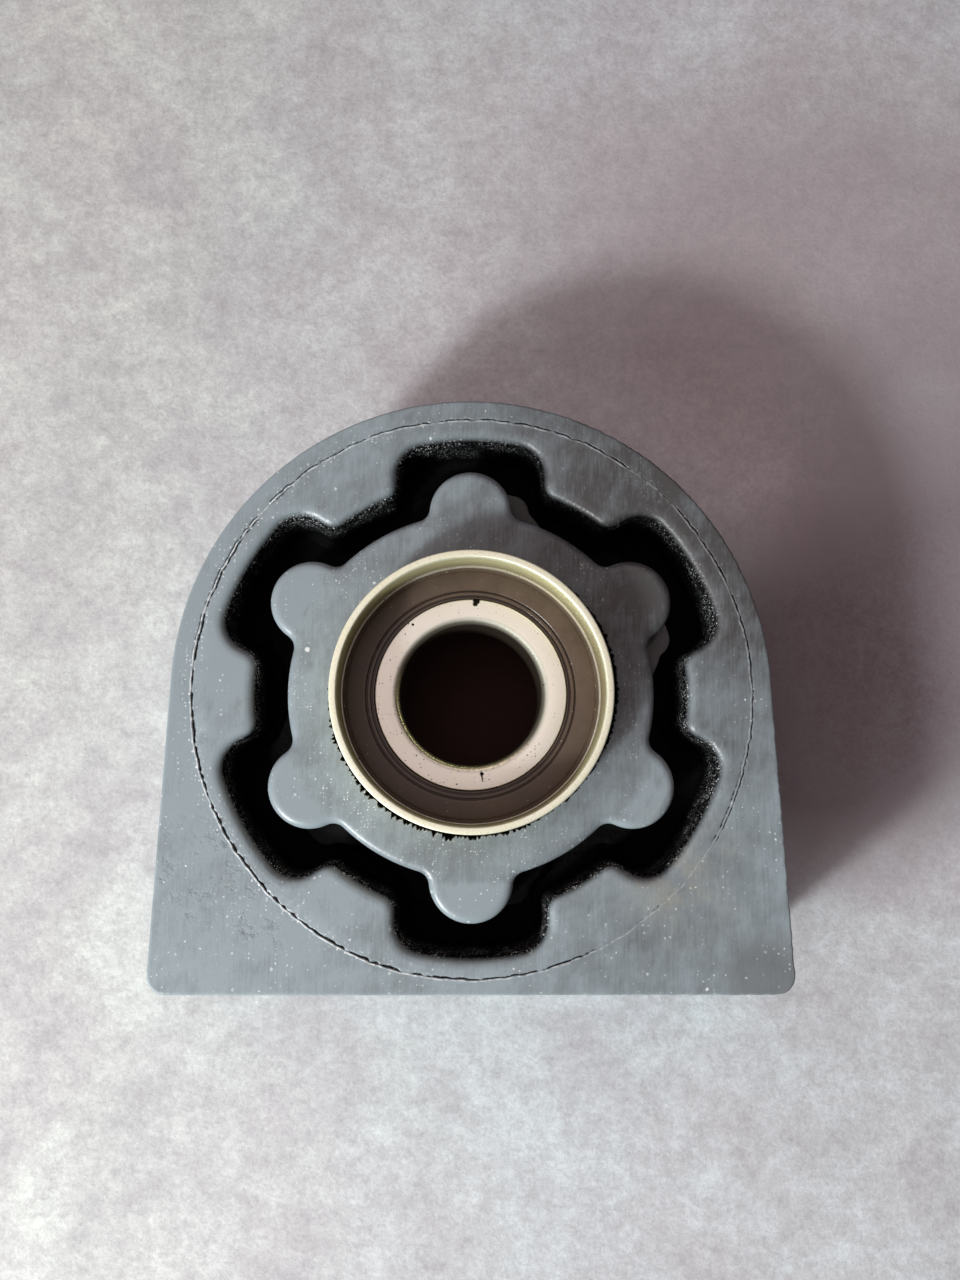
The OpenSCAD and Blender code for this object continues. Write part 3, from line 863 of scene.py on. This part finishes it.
def rubber_material():
    material, tree, shader = new_material("moulded_rubber")
    place = object_place(tree)
    ragged = uneven(tree, place, 0.45, 0.3)
    cavity = add_node(tree, "ShaderNodeAttribute", attribute_name="cavity").outputs["Fac"]
    pale = add_node(tree, "ShaderNodeAttribute", attribute_name="pale").outputs["Fac"]
    radius = axis_distance(tree, place)
    hub_face = fade(tree, radius, *[edge * MM for edge in HUB_FACE_FADE])
    cloud = noise(tree, place, 6, 6, 0.65)

    # Bloom with painted shade towards the upper right and the neck's painted shadow on the hub, stain, scuffs
    # and a dull corner, and raw black in the cavities and gaps, with painted shade in the gap round the neck,
    # at the mouths and in the mould line's groove
    bloom_and_shade = rubber_bloom_and_shade(tree, place, radius, hub_face, cloud)
    colour = mix_colour(tree, bloom_and_shade, DARK_RUBBER, PALE_BLOOM)
    stain = times(tree, near_point(tree, place, *STAIN), fade(tree, cloud, 0.38, 0.66, 0.0, 0.6))
    colour = mix_colour(tree, stain, colour, STAIN_BROWN)
    scuff = rubber_scuffs(tree, place)
    colour = mix_colour(tree, scuff, colour, SCUFF_GREY)
    corner = fade(tree, near_point(tree, place, *DULL_CORNER), 0.1, 0.6, 0.0, 0.6)
    colour = mix_colour(tree, corner, colour, DULL_GREY)
    colour = mix_colour(tree, fade(tree, cavity, 0.15, 0.6), colour, RAW_BLACK)

    # Dust, painted glints, torn flash and chips, and painted light on some feet
    dust = rubber_dust(tree, place, ragged, radius, hub_face)
    dust = times(tree, dust, fade(tree, bloom_and_shade, 0.1, 0.7, 0.2, 1.0))
    dust = times(tree, dust, fade(tree, cavity, 0.1, 0.4, 1.0, 0.0))
    white = larger(tree, dust, rubber_painted_glints(tree, place, cavity))
    white = larger(tree, white, times(tree, pale, 0.75))
    for spot in CHIPS:
        chip = fade(tree, near_point(tree, ragged, *spot), 0.2, 0.5, 0.0, 0.95)
        white = larger(tree, white, chip)
    colour = mix_colour(tree, white, colour, DUST_AND_GLINT_WHITE)

    # Gloss, stronger on the rounded edge of the hub and almost none in the cavity
    specular = fade(tree, cavity, 0.2, 0.6, 0.5, 0.02)
    edge = times(tree, fade(tree, cavity, 0.0, 0.06), fade(tree, cavity, 0.45, 0.25))
    rough = minus(tree, spread(tree, cloud, 0.46, 0.6), times(tree, edge, 0.19))

    # Skin of the moulding, pores of the raw rubber, and hollow scuffs
    grain = noise(tree, place, 0.5, 3, 0.6)
    skin = plus(tree, times(tree, grain, 0.35), times(tree, cloud, 0.65))
    pores = noise(tree, place, 0.8, 4, 0.7)
    normal = bump(tree, skin, 0.15, 0.5)
    normal = bump(tree, times(tree, pores, cavity), 0.5, 0.8, normal)
    normal = bump(tree, minus(tree, 0.0, scuff), 0.35, 0.6, normal)
    link(tree, shader, Base_Color=colour, Specular_IOR_Level=specular, Roughness=rough, Normal=normal)
    return material


# Zinc plated casing: colours, painted shade and reflection inside the neck, and painted shade on its right
# side
ZINC_PALE = (0.99, 1.0, 0.82)
ZINC_YELLOW = (0.95, 0.96, 0.72)
ZINC_SHADED_INSIDE = (0.60, 0.56, 0.29)
ZINC_SHADE_BROWN = (0.26, 0.19, 0.10)
ZINC_LOW_DARK = (0.22, 0.17, 0.10)
ZINC_SPECK = (0.55, 0.49, 0.27)
# Painted shade on the right side inside the neck: centre and reach
NECK_SHADE_SIDE = ((NECK_IR, 3, 13), 17)


def zinc_material():
    material, tree, shader = new_material("yellow_zinc", Metallic=0.65)
    place = object_place(tree)
    height = split(tree, place)["Z"]
    fine = noise(tree, place, 0.55, 5, 0.7)
    colour = mix_colour(tree, fade(tree, noise(tree, place, 9), 0.3, 0.7), ZINC_PALE, ZINC_YELLOW)
    # Painted shade and reflection: the inside of the neck below the rim is painted darker olive
    inside_shade = fade(tree, height, 18.0 * MM, 16.4 * MM, 0.0, 0.85)
    colour = mix_colour(tree, inside_shade, colour, ZINC_SHADED_INSIDE)
    # Painted shade: brown on the right side inside the neck
    side_shade = fade(tree, near_point(tree, place, *NECK_SHADE_SIDE), 0.0, 0.7, 0.0, 0.6)
    colour = mix_colour(tree, times(tree, side_shade, inside_shade), colour, ZINC_SHADE_BROWN)
    # Darker towards the bottom of the neck
    low_dark = fade(tree, height, 15.0 * MM, 9.0 * MM, 0.0, 0.85)
    colour = mix_colour(tree, low_dark, colour, ZINC_LOW_DARK)
    colour = mix_colour(tree, fade(tree, fine, 0.52, 0.74, 0.0, 0.5), colour, ZINC_SPECK)
    link(tree, shader, Base_Color=colour, Roughness=spread(tree, fine, 0.42, 0.58),
         Normal=bump(tree, fine, 0.1, 0.5))
    return material


# Ground steel of the rings: colours, the pitted place and the place of the painted reflection, and dark marks
# on the front face
STEEL_GREY = (0.99, 0.99, 0.86)
STEEL_BRIGHT = (1.0, 1.0, 0.91)
PIT_BLACK = (0.02, 0.017, 0.015)
BEVEL_GREY = (0.13, 0.12, 0.09)
NECK_REFLECTION_BRIGHT = (1.0, 0.97, 0.68)
BORE_SHADE = (0.06, 0.045, 0.035)
PITTED_SIDE = ((-17.5, 2, RING_FACE_Z), 9)
NECK_REFLECTION_SIDE = ((-7, -13, RING_FACE_Z), 24)
NECK_REFLECTION_R = BORE_R + 0.6
RING_MARKS = (((1.25, 19.9), 1.0), ((1.0, 19.2), 0.7), ((2.3, -16.7), 0.5), ((2.35, -17.2), 0.3),
              ((2.45, -17.7), 0.26), ((2.5, -18.2), 0.22), ((-12.2, 14.8), 0.36), ((-20.1, 2.4), 0.25))


def ring_marks(tree, place):
    """Pits and larger marks on the face of the inner ring."""
    ragged = uneven(tree, place, 0.4, 0.2)
    pitted = fade(tree, noise(tree, place, 7, 3), 0.42, 0.6)
    pitted = larger(tree, pitted, near_point(tree, place, *PITTED_SIDE))
    small_pits = times(tree, specks(tree, ragged, 0.8, 0.14, 0.3), pitted)
    marks = larger(tree, small_pits, specks(tree, ragged, 2.6, 0.2, 0.12))
    for point, size in RING_MARKS:
        mark = fade(tree, near_point(tree, ragged, (*point, RING_FACE_Z), size), 0.1, 0.4)
        marks = larger(tree, marks, mark)
    return marks


def ring_material():
    material, tree, shader = new_material("ground_steel", Metallic=1.0)
    place = object_place(tree)
    fine = noise(tree, place, 0.35, 3, 0.6)
    marks = ring_marks(tree, place)
    colour = mix_colour(tree, fade(tree, noise(tree, place, 6), 0.35, 0.7), STEEL_GREY, STEEL_BRIGHT)
    colour = mix_colour(tree, marks, colour, PIT_BLACK)

    # Dark bevel with a painted reflection of the lit neck as a bright line on one side, and painted shade
    # inside the bore
    radius = axis_distance(tree, place)
    bevel = fade(tree, radius, (BORE_R + 1.6) * MM, (BORE_R + 0.5) * MM, 0.0, 0.92)
    colour = mix_colour(tree, bevel, colour, BEVEL_GREY)
    # Painted reflection of the lit neck: a bright line along the lower left of the bevel
    line = times(tree, fade(tree, off_circle(tree, radius, NECK_REFLECTION_R), 0.7 * MM, 0.3 * MM),
                 fade(tree, near_point(tree, place, *NECK_REFLECTION_SIDE), 0.15, 0.45))
    line = times(tree, line, fade(tree, noise(tree, place, 0.6, 3, 0.7), 0.4, 0.56, 0.4, 0.95))
    colour = mix_colour(tree, line, colour, NECK_REFLECTION_BRIGHT)
    # Painted shade inside the bore
    bore_shade = times(tree, fade(tree, radius, (BORE_R + 0.25) * MM, (BORE_R + 0.05) * MM),
                 fade(tree, absolute(tree, split(tree, place)["Z"]), 7.1 * MM, 6.2 * MM))
    colour = mix_colour(tree, bore_shade, colour, BORE_SHADE)

    rough = plus(tree, spread(tree, fine, 0.42, 0.55), times(tree, marks, 0.4))
    rough = plus(tree, rough, times(tree, bevel, 0.2))
    rough = minus(tree, rough, times(tree, line, 0.45))
    normal = bump(tree, minus(tree, times(tree, fine, 0.15), marks), 0.08, 0.6)
    link(tree, shader, Base_Color=colour, Roughness=rough, Normal=normal)
    return material


# Brown rubber of the seals: colours, with painted shade in the grooves, and the radii where the glossy lip
# ends
SEAL_DARK = (0.066, 0.043, 0.029)
SEAL_BROWN = (0.1, 0.07, 0.047)
SEAL_WORN = (0.17, 0.13, 0.10)
SEAL_DUST = (0.32, 0.27, 0.22)
SEAL_GROOVE_SHADE = (0.012, 0.008, 0.006)
LIP_FADE = (SHOULDER_R + 2.6, SHOULDER_R + 2.3)


def seal_material():
    material, tree, shader = new_material("seal_rubber", Specular_IOR_Level=0.5)
    place = object_place(tree)
    cloud = noise(tree, place, 8, 5, 0.6)
    fine = noise(tree, place, 0.5, 4, 0.6)
    colour = mix_colour(tree, fade(tree, cloud, 0.35, 0.7), SEAL_DARK, SEAL_BROWN)
    colour = mix_colour(tree, fade(tree, fine, 0.6, 0.8, 0.0, 0.4), colour, SEAL_WORN)
    scratch = noise(tree, stretched(tree, place, (1, 0.12, 1)), 0.8, 2, 0.5)
    dust = larger(tree, specks(tree, uneven(tree, place, 0.4, 0.2), 2.4, 0.16, 0.14),
                  fade(tree, scratch, 0.74, 0.8, 0.0, 0.5))
    colour = mix_colour(tree, dust, colour, SEAL_DUST)
    height = absolute(tree, split(tree, place)["Z"])
    # Painted shade in the bottoms of the grooves
    groove = fade(tree, height, (SEAL_TOP - 0.2) * MM, (SEAL_TOP - 0.42) * MM, 0.0, 0.8)
    colour = mix_colour(tree, groove, colour, SEAL_GROOVE_SHADE)
    lip = fade(tree, axis_distance(tree, place), *[edge * MM for edge in LIP_FADE], 0.0, 0.22)
    rough = minus(tree, spread(tree, cloud, 0.4, 0.54), lip)
    link(tree, shader, Base_Color=colour, Roughness=rough, Normal=bump(tree, fine, 0.05, 0.5))
    return material


# Steel of the pieces that are sealed inside the bearing: two shades and the lowest roughness
BALL_STEEL = ((0.80, 0.80, 0.82), (0.74, 0.74, 0.77), 0.08)
CAGE_STEEL = ((0.62, 0.58, 0.50), (0.54, 0.50, 0.43), 0.32)


def inner_steel_material(name, shade_a, shade_b, rough):
    material, tree, shader = new_material(name, Metallic=1.0)
    cloud = noise(tree, object_place(tree), 3)
    colour = mix_colour(tree, fade(tree, cloud, 0.35, 0.7), shade_a, shade_b)
    link(tree, shader, Base_Color=colour, Roughness=spread(tree, cloud, rough, rough + 0.12))
    return material


# Dress the part

def dress(piece, body, node, material):
    piece.data.materials.append(material)
    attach(piece, body)
    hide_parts(node)


def repaint(node, material):
    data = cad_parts[node].data
    data.materials.clear()
    data.materials.append(material)


rubber = rubber_material()
zinc = zinc_material()
steel = ring_material()
seal_rubber = seal_material()
ball_steel = inner_steel_material("polished_steel", *BALL_STEEL)
cage_steel = inner_steel_material("pressed_steel", *CAGE_STEEL)

dress(cushion_piece(), "housing", "rubber_cushion", rubber)
front_shell = lathe("casing_front", front_shell_profile())
rear_shell = lathe("casing_rear", rear_shell_profile())
dress(front_shell, "housing", "casing_front_shell", zinc)
dress(rear_shell, "housing", "casing_rear_shell", zinc)
dress(lathe("ring_inner", inner_ring_profile()), "inner_race", "inner_ring", steel)
dress(lathe("seal_front", seal_profile(1)), "housing", "front_seal", seal_rubber)
dress(lathe("seal_rear", seal_profile(-1)), "housing", "rear_seal", seal_rubber)

BALLS = 9
repaint("outer_ring", steel)
for ball in range(1, BALLS + 1):
    repaint(f"ball_{ball}", ball_steel)
for part in ("cage_front", "cage_rear", "cage_rivets"):
    repaint(part, cage_steel)


# Floor of napped cloth: size, colours with painted light and shade, and places of painted shadow as centre
# and reach, the patches also with a share
FLOOR_SIZE = 6000
CLOTH_RIGHT = (0.665, 0.735, 0.755)
CLOTH_LIT_LEFT = (0.72, 0.755, 0.72)
CLOTH_RUBBED = (0.44, 0.43, 0.455)
CLOTH_MAUVE = (0.60, 0.53, 0.56)
CLOTH_SHADE = (0.27, 0.215, 0.225)
CLOTH_SHADOW = (0.15, 0.11, 0.125)
CLOTH_PILE = (0.28, 0.275, 0.285)
CLOTH_UNDER_SHADE = (0.05, 0.028, 0.025)
MAUVE_AND_SHADE_SIDE = ((75, 75, FLOOR_Z), 135)
SHADE_SQUEEZE = 1.7
SHADE_SIDE = ((95, SHADE_SQUEEZE * 118, FLOOR_Z), 105)
SHADOW_PATCHES = (((86, 0, FLOOR_Z), 56, 0.85), ((126, 22, FLOOR_Z), 60, 0.7), ((118, 66, FLOOR_Z), 48, 0.4))


def floor_material():
    """Napped cloth: pale grey and lighter on the left as painted light, mauve and darker on the right with
    painted shadow, and painted shade under the bore.
    """
    material, tree, shader = new_material("napped_cloth", Roughness=0.95, Specular_IOR_Level=0.1)
    place = object_place(tree)
    nap = noise(tree, place, 6, 7, 0.78)
    tuft = noise(tree, place, 2.2, 5, 0.75)
    fibre = noise(tree, place, 1.0, 4, 0.75)
    # Painted light: the cloth is lighter towards the left, the side of the lamp
    lit_left = fade(tree, split(tree, place)["X"], 30 * MM, -95 * MM)
    colour = mix_colour(tree, lit_left, CLOTH_RIGHT, CLOTH_LIT_LEFT)
    rubbed = fade(tree, noise(tree, place, 24, 8, 0.7), 0.36, 0.66, 0.0, 0.62)
    colour = mix_colour(tree, rubbed, colour, CLOTH_RUBBED)
    # Mauve of the cloth, stronger towards the upper right as painted shade
    mauve = plus(tree, fade(tree, noise(tree, place, 45, 4, 0.6), 0.35, 0.7), spread(tree, nap, -0.25, 0.25))
    mauve = plus(tree, times(tree, mauve, 0.35), near_point(tree, place, *MAUVE_AND_SHADE_SIDE), clamp=True)
    colour = mix_colour(tree, times(tree, mauve, 0.85), colour, CLOTH_MAUVE)
    shade = near_point(tree, stretched(tree, place, (1, SHADE_SQUEEZE, 1)), *SHADE_SIDE)
    colour = mix_colour(tree, fade(tree, shade, 0.0, 0.6, 0.0, 0.5), colour, CLOTH_SHADE)
    # Painted shadow of the part on the cloth beside it
    for point, reach, share in SHADOW_PATCHES:
        patch = fade(tree, near_point(tree, place, point, reach), 0.0, 0.55, 0.0, share)
        colour = mix_colour(tree, patch, colour, CLOTH_SHADOW)
    pile = plus(tree, times(tree, nap, 0.3), times(tree, tuft, 0.35))
    pile = plus(tree, pile, times(tree, fibre, 0.35))
    colour = mix_colour(tree, fade(tree, pile, 0.4, 0.62, 0.0, 0.56), colour, CLOTH_PILE)
    # Painted shade on the cloth under the bore
    under_shade = fade(tree, axis_distance(tree, place), 40 * MM, 30 * MM)
    colour = mix_colour(tree, under_shade, colour, CLOTH_UNDER_SHADE)
    link(tree, shader, Base_Color=colour, Normal=bump(tree, pile, 0.5, 0.5))
    return material


def make_floor():
    half = FLOOR_SIZE / 2
    corners = np.array([(-half, -half), (half, -half), (half, half), (-half, half)])
    points = np.column_stack([corners, np.full(len(corners), FLOOR_Z)]) * MM
    mesh = bpy.data.meshes.new("floor")
    mesh.from_pydata(points.tolist(), [], [(0, 1, 2, 3)])
    mesh.materials.append(floor_material())
    add_object("floor", mesh)


# Light and camera
KEY_DISTANCE, KEY_HEIGHT = 720.0, 410.0
KEY_PLACE = (*(direction(225) * KEY_DISTANCE), KEY_HEIGHT)
KEY_COLOUR = (0.97, 1.0, 1.0)
KEY_LAMPS = (("key", 105, 6.3), ("key_glow", 420, 3.5))
CEILING_DIRECTION = (-0.36, 0.28, 1.0)
CEILING_EDGES = (28, 50)
CEILING_LIGHT, ROOM_LIGHT = 0.88, 0.06
ROOM_COLOUR = (1.0, 0.82, 0.82, 1.0)
CAMERA_PLACE = (-2.2, -13.5, 197.5)
CAMERA_TARGET = (-2.2, 1.5, 10.0)
CAMERA_SHIFT = (0.0154, 0.0362)
CAMERA_SENSOR, CAMERA_LENS = 36, 25.4
CAMERA_NEAR = 10


def aim(thing, place, target):
    thing.location = Vector(place) * MM
    thing.rotation_mode = "QUATERNION"
    thing.rotation_quaternion = (Vector(target) - Vector(place)).to_track_quat("-Z", "Y")


def make_lamp(name, size, watts):
    data = bpy.data.lights.new(name, "AREA")
    data.shape = "DISK"
    data.size = size * MM
    data.energy = watts
    data.color = KEY_COLOUR
    aim(add_object(name, data), KEY_PLACE, (0, 0, 0))


def make_world():
    """A dim room with a bright soft patch of ceiling."""
    world = bpy.data.worlds.new("studio")
    world.use_nodes = True
    tree = world.node_tree
    background = tree.nodes["Background"]
    sky = add_node(tree, "ShaderNodeTexCoord").outputs["Generated"]
    facing = vector_node(tree, "DOT_PRODUCT", sky, Vector(CEILING_DIRECTION).normalized(), "Value")
    inner_edge, outer_edge = (math.cos(math.radians(edge)) for edge in CEILING_EDGES)
    strength = fade(tree, facing, outer_edge, inner_edge, ROOM_LIGHT, CEILING_LIGHT)
    tree.links.new(strength, background.inputs["Strength"])
    background.inputs["Color"].default_value = ROOM_COLOUR
    bpy.context.scene.world = world


def make_camera():
    data = bpy.data.cameras.new("camera")
    data.sensor_width = CAMERA_SENSOR
    data.lens = CAMERA_LENS
    data.shift_x, data.shift_y = CAMERA_SHIFT
    data.clip_start = CAMERA_NEAR * MM
    camera = add_object("camera", data)
    aim(camera, CAMERA_PLACE, CAMERA_TARGET)
    bpy.context.scene.camera = camera


make_floor()
for lamp in KEY_LAMPS:
    make_lamp(*lamp)
make_world()
make_camera()
bpy.context.scene.view_settings.view_transform = "Standard"
